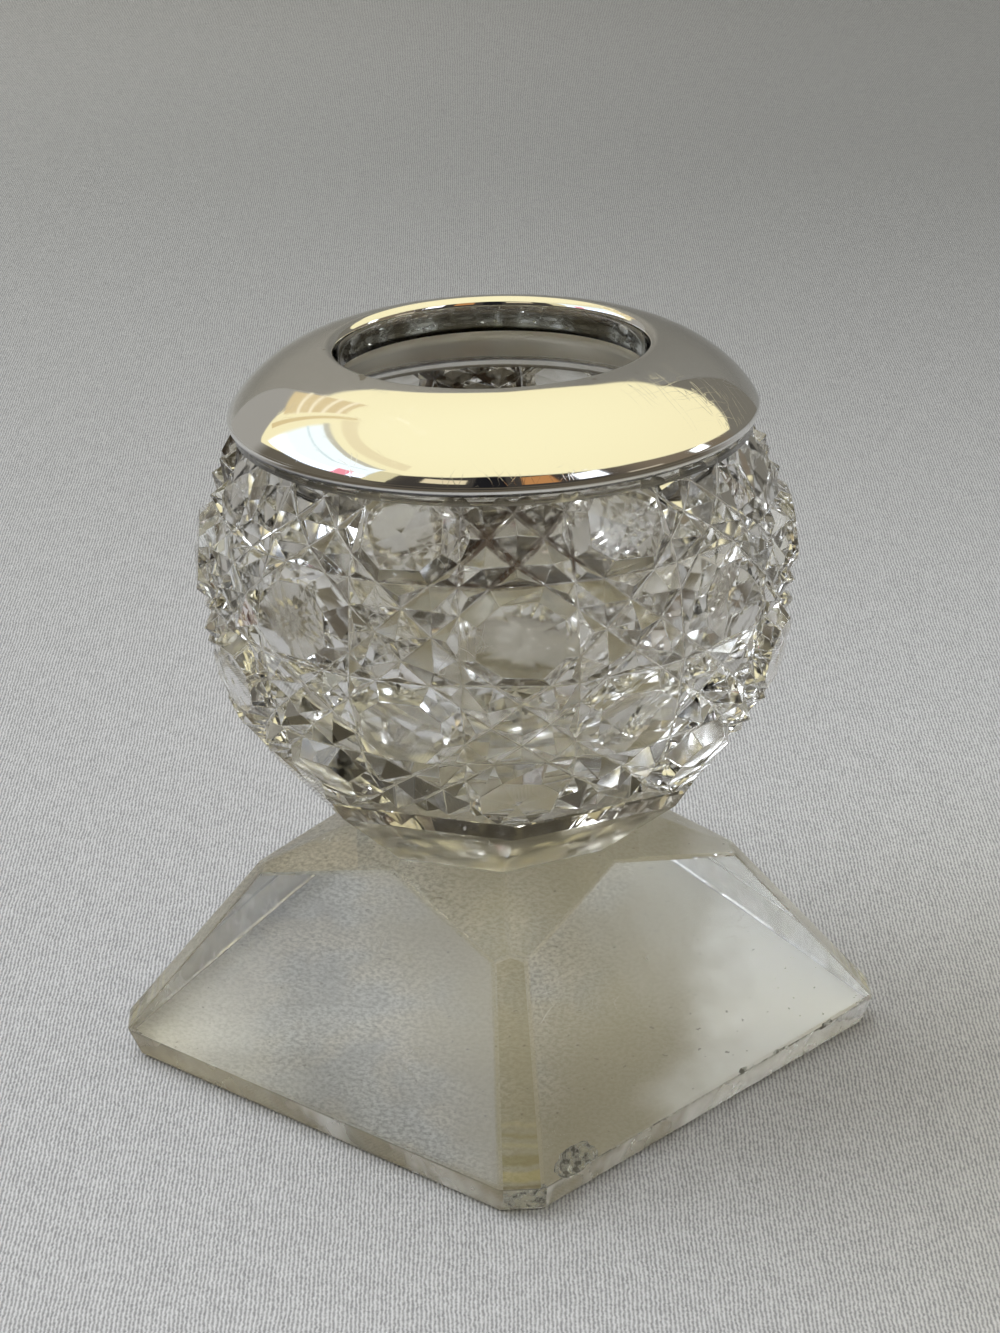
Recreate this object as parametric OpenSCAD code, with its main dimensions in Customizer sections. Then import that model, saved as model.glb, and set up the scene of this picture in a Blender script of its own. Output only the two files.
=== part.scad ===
// Match striker: a cut-glass globe on an eight-sided neck and a square faceted foot, with a domed
// silver collar around its mouth. The origin is the centre of the foot's underside, +Z is up, and
// the foot's sides lie along X and Y.

/* [Foot] */
// Width of the square foot at its widest, just above the undercut bevel
foot_w = 58; // [54:0.5:74]
// Height of the foot, from its underside to the waist of the neck
foot_h = 24.7; // [20:0.1:34]
// Height of the undercut bevel around the underside
bevel_h = 3.1; // [1.5:0.1:5]
// How far the underside is drawn in from the widest line
bevel_in = 0.95; // [0.3:0.05:2]
// Corner chamfer at the widest line, measured along the diagonal
corner_cut = 2.1; // [0.8:0.1:4]
// Corner chamfer where it meets the upper facets, measured along the diagonal
corner_cut_top = 1.6; // [0.5:0.1:3]
// Slope of the eight upper facets, in degrees from the horizontal
facet_slope = 25.8; // [18:0.1:32]

/* [Neck] */
// Width of the eight-sided waist of the neck, across its corners
waist_w = 28.6; // [24:0.1:31]
// Flat left between the waist and the top of each large face
waist_ledge = 1.5; // [0.6:0.1:3]
// Height of the flared neck, from its waist to the plain band
neck_h = 7.2; // [5:0.1:10]
// Height of the plain band between the neck and the cut pattern
band_h = 2.2; // [1.2:0.1:3]

/* [Globe] */
// Largest diameter of the globe
globe_d = 60; // [56:0.5:70]
// Height of the largest diameter above the waist
belly_h = 28.3; // [25:0.1:32]
// Diameter of the globe at the lower edge of the plain band
base_d = 45.8; // [43:0.1:48]
// Diameter of the globe at the top of the cut pattern
shoulder_d = 51; // [48:0.1:52]
// Thickness of the wall at the largest diameter, over the uncut glass
wall_t = 5.5; // [4:0.1:7.5]
// Thickness of the solid glass between the waist and the floor of the bowl
floor_t = 10.3; // [9.8:0.1:14]

/* [Cut pattern] */
// Number of columns around the globe, an even number
columns = 16; // [12:2:20]
// Height of one row of the pattern
row_h = 8.9; // [8:0.05:9.6]
// Height of the lowest row that shows above the plain band
first_row_h = 7.7; // [7:0.05:8.6]
// Height of the highest row that shows below the plain strip
last_row_h = 7.0; // [6:0.05:8]
// Depth of the cut grooves
cut_depth = 1.6; // [0.8:0.05:2]
// Offset of the paired diagonal grooves from the star centres, as a part of a column
diagonal_offset = 0.26; // [0.2:0.01:0.32]
// Size of the flat left on each hobnail, as a part of its eight-sided outline
hob_flat = 0.66; // [0.4:0.01:0.85]

/* [Collar] */
// Largest diameter of the silver collar
collar_d = 52.2; // [51:0.1:56]
// Diameter of the opening through the collar
opening_d = 30.6; // [26:0.1:34]
// Thickness of the silver sheet
sheet_t = 0.5; // [0.3:0.05:0.8]
// Radius of the collar's domed section
dome_r = 13.75; // [12:0.05:20]
// Outer radius of the rolled rim around the opening
rim_r = 0.9; // [0.7:0.05:1.5]
// Outer radius of the turned-in lower edge
edge_r = 0.85; // [0.7:0.05:1.5]
// Height of the rim above the collar's largest diameter
collar_rise = 6.7; // [5.5:0.1:8]
// Height of the collar's largest diameter above the cut pattern
edge_lift = 1.7; // [1.4:0.1:3]
// How far the collar's inner wall drops from the rim into the mouth
drop_h = 3.5; // [2:0.1:5]

/* [Fit] */
// Clearance between the collar's crown and the lip of the glass
bed_gap = 0.1; // [0.05:0.05:0.3]
// Clearance between the collar's inner wall and the mouth of the glass
mouth_gap = 0.2; // [0.1:0.05:0.5]

/* [Hidden] */
$fn = 96;

// Angle between the corners of the eight-sided neck, and half of it
eighth = 360 / 8;
half_eighth = eighth / 2;
octagon = cos(half_eighth);
waist_r = waist_w / 2;
band_z = foot_h + neck_h;
cut_low = band_z + band_h;
first_line = cut_low + first_row_h;
rows = 4;
last_line = first_line + (rows - 2) * row_h;
cut_top = last_line + last_row_h;

globe_r = globe_d / 2;
base_r = base_d / 2;
shoulder_r = shoulder_d / 2;
belly_z = foot_h + belly_h;
// How fast the square of the globe's radius falls, below and above the belly
low_fall = (pow(globe_r, 2) - pow(base_r, 2)) / pow(belly_z - band_z, 2);
top_fall = (pow(globe_r, 2) - pow(shoulder_r, 2)) / pow(cut_top - belly_z, 2);

edge_z = cut_top + edge_lift;
edge_x = collar_d / 2 - edge_r;
rim_x = opening_d / 2 + rim_r;
rim_z = edge_z + collar_rise - rim_r;
// The dome's arc touches the rim's circle and the edge's circle from outside
rim_reach = dome_r - rim_r;
edge_reach = dome_r - edge_r;
span = norm([edge_x - rim_x, edge_z - rim_z]);
along = (pow(rim_reach, 2) - pow(edge_reach, 2) + pow(span, 2)) / (2 * span);
across = sqrt(pow(rim_reach, 2) - pow(along, 2));
dome_x = rim_x + (along * (edge_x - rim_x) + across * (edge_z - rim_z)) / span;
dome_z = rim_z + (along * (edge_z - rim_z) - across * (edge_x - rim_x)) / span;
rim_angle = atan2(rim_z - dome_z, rim_x - dome_x);
edge_angle = atan2(edge_z - dome_z, edge_x - dome_x);
// How far round the lower edge turns in, below the horizontal
edge_turn = 65;
// How far each small arc runs on into the sheet that it meets
lap = 20;

mouth_r = opening_d / 2 + sheet_t + mouth_gap;
// Width of the lip's flat top, and the small chamfer at its outer edge
lip_w = 1.6;
lip_edge = 0.3;
lip_r = mouth_r + lip_w;
// Radius, in the collar's section, that the glass under the dome stays within
seat_r = dome_r - sheet_t - bed_gap;
// The lip stops below the dome, and below the place where the dome meets the rim
under_dome = dome_z + sqrt(pow(dome_r - sheet_t, 2) - pow(lip_r - dome_x, 2));
under_rim = rim_z + (rim_r - sheet_t) * sin(rim_angle);
lip_z = min(under_dome, under_rim) - bed_gap;
// Radius inside the collar's turned-in edge, and the height where the plain strip of glass ends below it
edge_inside = edge_x + (edge_r - sheet_t) * cos(edge_turn) - bed_gap;
strip_z = edge_z - edge_r - bed_gap;
// Number of short cones that make the plain glass between the pattern and the lip
curve_steps = 10;

// How far the widest line of the hollow lies above the belly
hollow_lift = 1;
hollow_z = belly_z + hollow_lift;
hollow_r = globe_r - wall_t;
// The hollow keeps the wall's thickness up to the shoulder
hollow_fall = (pow(hollow_r, 2) - pow(shoulder_r - wall_t, 2)) / pow(cut_top - hollow_z, 2);
floor_z = foot_h + floor_t;
// The rounding between wall and floor takes all the height or radius that there is
floor_arc = min(hollow_z - floor_z, hollow_r);
// Number of short cones that make the hollow's upper half
hollow_steps = 24;

// How far a cutting solid runs past the surface that it cuts
spare = 1;

function fall_at(z) = z > belly_z ? top_fall : low_fall;
// Radius of the uncut globe at height z: part of an ellipse below the belly, and of another above it
function globe_at(z) = sqrt(max(0, pow(globe_r, 2) - fall_at(z) * pow(z - belly_z, 2)));
// Tilt of the globe's surface normal at height z, in degrees above the horizontal
function tilt_at(z) = atan2(fall_at(z) * (z - belly_z), globe_at(z));
// Radius that the glass may have at height z inside the collar
function seat_at(z) = min(edge_inside, dome_x + sqrt(max(0, pow(seat_r, 2) - pow(z - dome_z, 2))));
// Radius of the plain glass inside the collar at height z
function crown_at(z) = max(lip_r, min(globe_at(z), seat_at(z)));
// Radius of the hollow at height z, above its widest line
function hollow_at(z) =
    let (r = sqrt(max(0, pow(hollow_r, 2) - hollow_fall * pow(z - hollow_z, 2))))
    z < strip_z ? r : min(r, crown_at(z) - lip_w);
// How much the round section is drawn in to meet the eight-sided band: 1 at the band, 0 one row above
function easing(z) = max(0, 1 - (z - cut_low) / (row_h / 2));
// Radius of an eight-sided section at angle a, as a part of its corner radius
function eight_sided(a) = octagon / cos((a % eighth + eighth) % eighth - half_eighth);
function section(a, z) = 1 - easing(z) * (1 - eight_sided(a));

// The lattice: column u counts round the globe, row v counts up it, and each cell is one unit square
function row_z(v) = first_line + (v - 0.5) * row_h;
function on_globe(u, v, depth) =
    let (
        a = u * 360 / columns,
        z = row_z(v),
        t = tilt_at(z),
        r = globe_at(z) * section(a, z) - depth * cos(t)
    )
    [r * cos(a), r * sin(a), z - depth * sin(t)];

// Places where the diagonal grooves meet the edges of a cell
side = 0.5 - diagonal_offset;
// Depths of the points of the small pyramids, in parts of the groove depth
corner_dip = 0.6;
wedge_dip = 0.43;
kite_dip = 0.06;
// Places of those points in their cell
corner_at = (1 + side) / 3;
wedge_at = 0.4;
kite_at = 0.29;

quarters = [[1, 1], [-1, 1], [-1, -1], [1, -1]];
axes = [[1, 0], [0, 1], [-1, 0], [0, -1]];
outline = [[0.5, side], [side, 0.5], [-side, 0.5], [-0.5, side],
    [-0.5, -side], [-side, -0.5], [side, -0.5], [0.5, -side]];

// The inner points of a hobnail cell: its flat, the flat's middle, and its four corner pyramids
hob_inner = concat(
    [for (p = outline) [hob_flat * p[0], hob_flat * p[1], 0]],
    [[0, 0, 0]],
    [for (q = quarters) [corner_at * q[0], corner_at * q[1], corner_dip]]
);
// The inner points of a star cell: the four groove crossings, the middle, four wedges and four kites
star_inner = concat(
    [for (q = axes) [diagonal_offset * q[0], diagonal_offset * q[1], 1]],
    [[0, 0, 0]],
    [for (q = axes) [wedge_at * q[0], wedge_at * q[1], wedge_dip]],
    [for (q = quarters) [kite_at * q[0], kite_at * q[1], kite_dip]]
);
inner_count = len(hob_inner);

function is_hob(i, j) = (i + j) % 2 == 0;
function around(i) = (i + columns) % columns;

// Numbers of the points: three on each cell's lower line, two on its left line, and the inner ones
line_count = 3 * columns;
side_start = line_count * (rows + 1);
inner_start = side_start + 2 * columns * rows;
cap_start = inner_start + inner_count * columns * rows;
function line_id(i, j, k) = line_count * j + 3 * around(i) + k;
function side_id(i, j, k) = side_start + 2 * (columns * j + around(i)) + k;
function inner_id(i, j, k) = inner_start + inner_count * (columns * j + i) + k;

// The twelve points round a cell, anticlockwise from its lower left corner
function rim_ids(i, j) = [
    line_id(i, j, 0), line_id(i, j, 1), line_id(i, j, 2), line_id(i + 1, j, 0),
    side_id(i + 1, j, 0), side_id(i + 1, j, 1), line_id(i + 1, j + 1, 0),
    line_id(i, j + 1, 2), line_id(i, j + 1, 1), line_id(i, j + 1, 0),
    side_id(i, j, 1), side_id(i, j, 0)
];

// A pyramid over the closed run of points in ids, with its point at tip
function pyramid(ids, tip) = [for (k = [0:len(ids) - 1]) [ids[k], ids[(k + 1) % len(ids)], tip]];

function hob_faces(i, j) =
    let (
        c = rim_ids(i, j),
        n = function (k) inner_id(i, j, k),
        o = [c[5], c[7], c[8], c[10], c[11], c[1], c[2], c[4]],
        corners = [[c[5], c[6], c[7]], [c[8], c[9], c[10]], [c[11], c[0], c[1]], [c[2], c[3], c[4]]]
    )
    concat(
        pyramid([for (k = [0:7]) n(k)], n(8)),
        [for (k = [0:7]) [o[k], o[(k + 1) % 8], n(k)]],
        [for (k = [0:7]) [o[(k + 1) % 8], n((k + 1) % 8), n(k)]],
        [for (k = [0:3]) each pyramid(corners[k], n(9 + k))]
    );

function star_faces(i, j) =
    let (
        c = rim_ids(i, j),
        n = function (k) inner_id(i, j, k),
        kites = [[n(0), c[5], c[6], c[7], n(1)], [n(1), c[8], c[9], c[10], n(2)],
            [n(2), c[11], c[0], c[1], n(3)], [n(3), c[2], c[3], c[4], n(0)]],
        wedges = [[n(0), c[4], c[5]], [n(1), c[7], c[8]], [n(2), c[10], c[11]], [n(3), c[1], c[2]]]
    )
    concat(
        pyramid([n(0), n(1), n(2), n(3)], n(4)),
        [for (k = [0:3]) each pyramid(wedges[k], n(5 + k))],
        [for (k = [0:3]) each pyramid(kites[k], n(9 + k))]
    );

lattice_points = concat(
    [for (j = [0:rows]) for (i = [0:columns - 1]) for (du = [-0.5, -side, side])
        on_globe(i + du, j - 0.5, cut_depth)],
    [for (j = [0:rows - 1]) for (i = [0:columns - 1]) for (dv = [-side, side])
        on_globe(i - 0.5, j + dv, cut_depth)],
    [for (j = [0:rows - 1]) for (i = [0:columns - 1]) for (p = is_hob(i, j) ? hob_inner : star_inner)
        on_globe(i + p[0], j + p[1], cut_depth * p[2])]
);
lattice_faces = [for (j = [0:rows - 1]) for (i = [0:columns - 1])
    each is_hob(i, j) ? hob_faces(i, j) : star_faces(i, j)];

// Depth of the rings that carry the pattern's solid into the plain glass below and above it
root = 2 * cut_depth;
low_ring = [for (k = [0:line_count - 1]) let (p = lattice_points[k], r = norm([p[0], p[1]]) - root)
    [r * p[0] / (r + root), r * p[1] / (r + root), cut_low - root]];
top_ring = [for (k = [0:line_count - 1])
    let (p = lattice_points[line_count * rows + k], r = norm([p[0], p[1]]) - root)
    [r * p[0] / (r + root), r * p[1] / (r + root), row_z(rows - 0.5) + root]];
function next(k) = (k + 1) % line_count;
low_faces = [for (k = [0:line_count - 1]) each [
    [next(k), k, cap_start + k],
    [next(k), cap_start + k, cap_start + next(k)]]];
top_line = line_count * rows;
top_start = cap_start + line_count;
top_faces = [for (k = [0:line_count - 1]) each [
    [top_line + k, top_line + next(k), top_start + next(k)],
    [top_line + k, top_start + next(k), top_start + k]]];
low_cap = [for (k = [line_count - 1:-1:0]) cap_start + k];
top_cap = [for (k = [0:line_count - 1]) top_start + k];

// The globe's cut surface as one solid; faces run clockwise seen from outside
module cut_globe() {
    faces = concat(lattice_faces, low_faces, top_faces, [low_cap, top_cap]);
    polyhedron(
        points = concat(lattice_points, low_ring, top_ring),
        faces = [for (f = faces) [for (k = [len(f) - 1:-1:0]) f[k]]],
        convexity = 6
    );
}

// The cut globe up into the plain strip, where the highest row of the pattern stops short
module patterned() {
    intersection() {
        cut_globe();
        cylinder(r = globe_d, h = (cut_top + strip_z) / 2);
    }
}

// A profile in the X-Z plane, mirrored about Z and drawn out along Y
module slab(profile, turn) {
    mirrored = [for (k = [len(profile) - 1:-1:0]) [-profile[k][0], profile[k][1]]];
    rotate([0, 0, turn])
        rotate([90, 0, 0])
            linear_extrude(height = 2 * foot_w, center = true)
                polygon(concat(profile, mirrored));
}

// Large faces: from the widest line of the foot up past the ledge at the waist
waist_flat = waist_r * octagon;
facet_drop = tan(facet_slope);
function upper_facet(d) = foot_h - (d - waist_flat) * facet_drop;
face_top_x = waist_r + waist_ledge;
face_top_z = upper_facet(face_top_x * octagon);
face_lean = (foot_w / 2 - face_top_x) / (face_top_z - bevel_h);
function face_x(z) = foot_w / 2 - (z - bevel_h) * face_lean;

// Corner chamfers: from the widest line up to the ridge between two upper facets
chamfer_low = foot_w / sqrt(2) - corner_cut;
// Height where the sharp corner edge would cross the upper facets, less the chamfer there
ridge_drop = octagon * facet_drop;
ridge_z = (foot_h + waist_flat * facet_drop - (foot_w / 2 + bevel_h * face_lean) * sqrt(2) * ridge_drop
    + corner_cut_top * ridge_drop) / (1 - face_lean * sqrt(2) * ridge_drop);
chamfer_top = face_x(ridge_z) * sqrt(2) - corner_cut_top;
chamfer_lean = (chamfer_low - chamfer_top) / (ridge_z - bevel_h);
function chamfer_x(z) = chamfer_low - (z - bevel_h) * chamfer_lean;

// The band's flats follow the globe between the lower edge of the band and the cut pattern
flat_low = globe_at(band_z) * octagon;
flat_top = globe_at(cut_low) * octagon;

module foot_and_neck() {
    intersection() {
        for_faces();
        for_chamfers();
        for_facets();
    }
}

// Two profiles at right angles make the four large faces; above the waist they stand clear
module for_faces() {
    profile = [[foot_w / 2 - bevel_in, 0], [foot_w / 2, bevel_h], [face_x(face_top_z), face_top_z],
        [globe_r, foot_h], [globe_r, cut_low]];
    intersection() {
        slab(profile, 0);
        slab(profile, 90);
    }
}

// The same for the four corner chamfers
module for_chamfers() {
    profile = [[chamfer_low - bevel_in * sqrt(2), 0], [chamfer_low, bevel_h], [chamfer_x(ridge_z), ridge_z],
        [globe_r, foot_h], [globe_r, cut_low]];
    intersection() {
        slab(profile, eighth);
        slab(profile, -eighth);
    }
}

// The eight upper facets, the flared neck and the flats of the plain band
module for_facets() {
    profile = [[foot_w, 0], [foot_w, upper_facet(foot_w)], [waist_flat, foot_h], [flat_low, band_z],
        [flat_top, cut_low]];
    intersection() {
        slab(profile, half_eighth);
        slab(profile, half_eighth + eighth);
        slab(profile, -half_eighth);
        slab(profile, -half_eighth - eighth);
    }
}

// Plain glass above the pattern: the strip that shows below the collar, and the crown and lip inside it
module shoulder() {
    rise = lip_z - lip_edge - strip_z;
    crown = [for (k = [0:curve_steps]) let (z = strip_z + rise * k / curve_steps) [crown_at(z), z]];
    rotate_extrude()
        polygon(concat(
            [[0, cut_top], [globe_at(cut_top), cut_top], [globe_at(strip_z), strip_z]],
            crown,
            [[lip_r - lip_edge, lip_z], [0, lip_z]]
        ));
}

// The inside of the bowl and its mouth
module hollow() {
    rise = lip_z - hollow_z;
    wall = [for (k = [0:hollow_steps]) let (z = hollow_z + rise * k / hollow_steps) [hollow_at(z), z]];
    rotate_extrude() {
        polygon(concat(wall, [[0, lip_z], [0, hollow_z]]));
        translate([0, hollow_z])
            square([mouth_r, rise + spare]);
        translate([0, floor_z + floor_arc])
            square([hollow_r, hollow_z - floor_z - floor_arc + lip_edge]);
        translate([0, floor_z])
            square([hollow_r - floor_arc, floor_arc]);
        translate([hollow_r - floor_arc, floor_z + floor_arc])
            intersection() {
                circle(r = floor_arc);
                translate([0, -floor_arc])
                    square([floor_arc, floor_arc]);
            }
    }
}

module glass_body() {
    color("gainsboro")
        difference() {
            union() {
                foot_and_neck();
                patterned();
                shoulder();
            }
            hollow();
        }
}

// A band of the sheet along a circle about [x, z], from angle a to angle b
module sheet_arc(x, z, r, a, b) {
    reach = 4 * r;
    translate([x, z])
        intersection() {
            difference() {
                circle(r = r);
                circle(r = r - sheet_t);
            }
            polygon([[0, 0], reach * [cos(a), sin(a)], reach * [cos((a + b) / 2), sin((a + b) / 2)],
                reach * [cos(b), sin(b)]]);
        }
}

// One spun sheet: turned-in edge, dome, rolled rim and the inner wall that drops into the mouth
module silver_collar() {
    color("silver")
        rotate_extrude() {
            sheet_arc(edge_x, edge_z, edge_r, -edge_turn, edge_angle + lap);
            sheet_arc(dome_x, dome_z, dome_r, edge_angle, rim_angle);
            sheet_arc(rim_x, rim_z, rim_r, rim_angle - lap, 180 + lap);
            translate([opening_d / 2, rim_z + rim_r - drop_h])
                square([sheet_t, drop_h - rim_r]);
        }
}

glass_body();
silver_collar();
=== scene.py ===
import math

import bmesh
import bpy
from mathutils import Matrix, Vector, noise


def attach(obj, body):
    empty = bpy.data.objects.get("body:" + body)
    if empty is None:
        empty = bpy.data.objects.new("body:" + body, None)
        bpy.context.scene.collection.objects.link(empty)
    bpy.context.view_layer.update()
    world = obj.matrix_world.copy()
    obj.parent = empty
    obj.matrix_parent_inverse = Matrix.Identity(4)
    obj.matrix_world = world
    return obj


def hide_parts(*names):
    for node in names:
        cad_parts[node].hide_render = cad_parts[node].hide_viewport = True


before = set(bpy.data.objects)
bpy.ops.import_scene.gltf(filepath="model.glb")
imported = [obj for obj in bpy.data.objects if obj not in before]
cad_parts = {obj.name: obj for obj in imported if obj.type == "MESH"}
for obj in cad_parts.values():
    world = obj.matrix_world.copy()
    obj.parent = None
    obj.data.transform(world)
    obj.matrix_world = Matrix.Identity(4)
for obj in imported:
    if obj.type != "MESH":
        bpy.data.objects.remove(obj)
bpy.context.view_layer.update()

# Sizes are in millimetres and angles in degrees, as in the CAD source. MM turns a length into metres.
MM = 0.001

# Foot and neck
FOOT_W = 58.0
FOOT_H = 24.7
BEVEL_H = 3.1
BEVEL_IN = 0.95
CORNER_CUT = 2.1
CORNER_CUT_TOP = 1.6
FACET_SLOPE = 25.8
WAIST_W = 28.6
WAIST_LEDGE = 1.5
NECK_H = 7.2
BAND_H = 2.2
# The neck's lower end is sunk in the foot, so that the two melt together
NECK_SINK = 4.0
NECK_SINK_IN = 2.0

# Globe and its hollow
GLOBE_D = 60.0
BELLY_H = 28.3
BASE_D = 45.8
SHOULDER_D = 51.0
WALL_T = 5.5
FLOOR_T = 10.3
HOLLOW_LIFT = 1.0
MOUTH_R = 16.0
MOUTH_EASE = 0.6
LIP_W = 1.6
LIP_EDGE = 0.3
LIP_GAP = 0.3
# How far a solid that is taken away reaches past the glass
LAP = 2.0

# Cut pattern: places within a cell are shares of its width, and depths are shares of CUT_DEPTH
COLUMNS = 16
ROWS = 4
ROW_H = 8.9
FIRST_ROW_H = 7.7
LAST_ROW_H = 7.0
CUT_DEPTH = 1.6
DIAGONAL_OFFSET = 0.26
HOB_FLAT = 0.7
CORNER_TIP_DEPTH = 0.6
WEDGE_AT = 0.4
WEDGE_DEPTH = 0.43
KITE_AT = 0.29
KITE_DEPTH = 0.06
PATTERN_TURN = 1.5
# The cutter's small errors, and how quickly they change round the globe and from row to row
WOBBLE = 0.035
WOBBLE_ROUND = 7
WOBBLE_RISE = 3.1
WOBBLE_SEEDS = ((0, 0, 0), (17, 5, 3), (3, 29, 11))

# Collar
COLLAR_D = 52.2
OPENING_D = 30.6
SHEET_T = 0.5
DOME_R = 13.75
RIM_R = 0.9
EDGE_R = 0.85
COLLAR_RISE = 6.7
EDGE_LIFT = 1.7
DROP_H = 3.5
DROP_CHAMFER = 0.12
EDGE_TURN = 65.0
EDGE_ROLL = 0.15

# How the globe and collar sit on this piece
OFF_CENTRE = 0.7
COLLAR_TILT = 0.45

# Rounding of the groove bottoms, of the raised lines between them and of the foot's edges
GROOVE_ROUND = 0.14
RIDGE_ROUND = 0.08
FOOT_ROUND = 0.3

# How many steps a full turn of the hollow and of the collar has
GLASS_STEPS = 192
COLLAR_STEPS = 256

# Chips along the foot's lower edge: centre, and half-size along X, Y and Z
CHIPS = (
    ((29.1, -26.2, 1.2), (1.2, 1.1, 1.9)),
    ((29.0, -21.0, 4.1), (1.4, 3.2, 1.8)),
    ((29.7, 4.5, 3.4), (0.9, 1.6, 0.9)),
    ((29.8, 10.5, 3.2), (0.9, 3.4, 0.8)),
    ((29.7, 18.0, 2.7), (0.9, 2.6, 1.2)),
    ((-20.0, -29.7, 2.2), (2.4, 0.9, 0.9)),
    ((3.0, -29.6, 0.4), (1.6, 0.9, 0.7)),
)
CHIP_GRAIN = 2.3
CHIP_ROUGHNESS = 0.16
CHIP_SEED = 3.7
CHIP_REACH = 1.4

# Heights and radii that follow from them
BAND_Z = FOOT_H + NECK_H
CUT_LOW = BAND_Z + BAND_H
FIRST_LINE = CUT_LOW + FIRST_ROW_H
CUT_TOP = FIRST_LINE + (ROWS - 2) * ROW_H + LAST_ROW_H
BELLY_Z = FOOT_H + BELLY_H
GLOBE_R = GLOBE_D / 2
LOW_FALL = (GLOBE_R ** 2 - (BASE_D / 2) ** 2) / (BAND_Z - BELLY_Z) ** 2
TOP_FALL = (GLOBE_R ** 2 - (SHOULDER_D / 2) ** 2) / (CUT_TOP - BELLY_Z) ** 2
HOLLOW_Z = BELLY_Z + HOLLOW_LIFT
HOLLOW_R = GLOBE_R - WALL_T
HOLLOW_FALL = (HOLLOW_R ** 2 - (SHOULDER_D / 2 - WALL_T) ** 2) / (CUT_TOP - HOLLOW_Z) ** 2
BOWL_FLOOR_Z = FOOT_H + FLOOR_T
BOWL_DEPTH = HOLLOW_Z - BOWL_FLOOR_Z
EDGE_Z = CUT_TOP + EDGE_LIFT
EDGE_X = COLLAR_D / 2 - EDGE_R
OPENING_R = OPENING_D / 2
RIM_X = OPENING_R + RIM_R
TOP_Z = EDGE_Z + COLLAR_RISE
RIM_Z = TOP_Z - RIM_R
OCTAGON = math.cos(math.radians(22.5))
GROOVE_SIDE = 0.5 - DIAGONAL_OFFSET
CORNER_TIP = (1 + GROOVE_SIDE) / 3
# The lines between the rows, where the cutter put them
ROW_LINES = (CUT_LOW - 1.2, 40.8, 49.8, 59.9, CUT_TOP + 1.9)

# Material slots of the glass
OUTSIDE, INSIDE, UNDERSIDE, BEVEL, CORNER, CHIPPED = range(6)

# The photograph's camera in the frame's own axes: angles in degrees, lens in millimetres, lengths in metres
CAMERA_AZIMUTH = 42.53
CAMERA_ELEVATION = 21.42
CAMERA_ROLL = 1.365
CAMERA_DISTANCE = 0.3583
CAMERA_LENS = 96.0
CAMERA_SENSOR = 36.0
CAMERA_AIM_RIGHT = 0.00076
CAMERA_AIM_HEIGHT = 0.04089


def metres(*lengths):
    return [length * MM for length in lengths]


def camera_axes():
    """Right, up and backward directions of the photograph's view, before the roll."""
    azimuth, elevation = math.radians(CAMERA_AZIMUTH), math.radians(CAMERA_ELEVATION)
    right = Vector((math.cos(azimuth), math.sin(azimuth), 0))
    back = Vector((
        math.sin(azimuth) * math.cos(elevation),
        -math.cos(azimuth) * math.cos(elevation),
        math.sin(elevation),
    ))
    return right, back.cross(right), back


def level_axes():
    """Level directions of the photograph's view: to its right, and back towards the camera."""
    right, _, back = camera_axes()
    return right, Vector((back.x, back.y, 0)).normalized()


def make_camera():
    right, up, back = camera_axes()
    roll = math.radians(CAMERA_ROLL)
    rolled_right = right * math.cos(roll) - up * math.sin(roll)
    rolled_up = right * math.sin(roll) + up * math.cos(roll)
    data = bpy.data.cameras.new("photo_camera")
    data.sensor_width = CAMERA_SENSOR
    data.lens = CAMERA_LENS
    data.clip_start = 0.01
    data.clip_end = 50.0
    camera = bpy.data.objects.new("photo_camera", data)
    bpy.context.scene.collection.objects.link(camera)
    axes = Matrix((rolled_right, rolled_up, back)).transposed()
    place = right * CAMERA_AIM_RIGHT + Vector((0, 0, CAMERA_AIM_HEIGHT)) + back * CAMERA_DISTANCE
    camera.matrix_world = Matrix.Translation(place) @ axes.to_4x4()
    bpy.context.scene.camera = camera


# Shapes

def new_object(name, shape):
    mesh = bpy.data.meshes.new(name)
    shape.to_mesh(mesh)
    shape.free()
    made = bpy.data.objects.new(name, mesh)
    bpy.context.scene.collection.objects.link(made)
    return made


def new_ring(shape, radius, z, count):
    """Points evenly round the Z axis; the first one lies on the X axis."""
    angles = [math.tau * k / count for k in range(count)]
    return [shape.verts.new((radius * math.cos(angle), radius * math.sin(angle), z)) for angle in angles]


def bridge(shape, low, high, smooth=False):
    """Faces between two rings, of which one may be a single point."""
    for k in range(max(len(low), len(high))):
        start, end = low[k % len(low)], low[(k + 1) % len(low)]
        corners = dict.fromkeys((start, end, high[(k + 1) % len(high)], high[k % len(high)]))
        shape.faces.new(list(corners)).smooth = smooth


def revolve(profile, count):
    """A closed revolved solid from points (r, z) that run from the axis round to the axis again."""
    shape = bmesh.new()
    rings = [new_ring(shape, r, z, count if r > 0 else 1) for r, z in profile]
    for low, high in zip(rings, rings[1:]):
        bridge(shape, low, high, smooth=True)
    bmesh.ops.recalc_face_normals(shape, faces=shape.faces)
    return shape


def arc(x, z, radius, start, end, count):
    """Points (x, z) along an arc round the centre, from one angle to the other."""
    angles = [math.radians(start + (end - start) * k / count) for k in range(count + 1)]
    return [(x + radius * math.cos(angle), z + radius * math.sin(angle)) for angle in angles]


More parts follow.
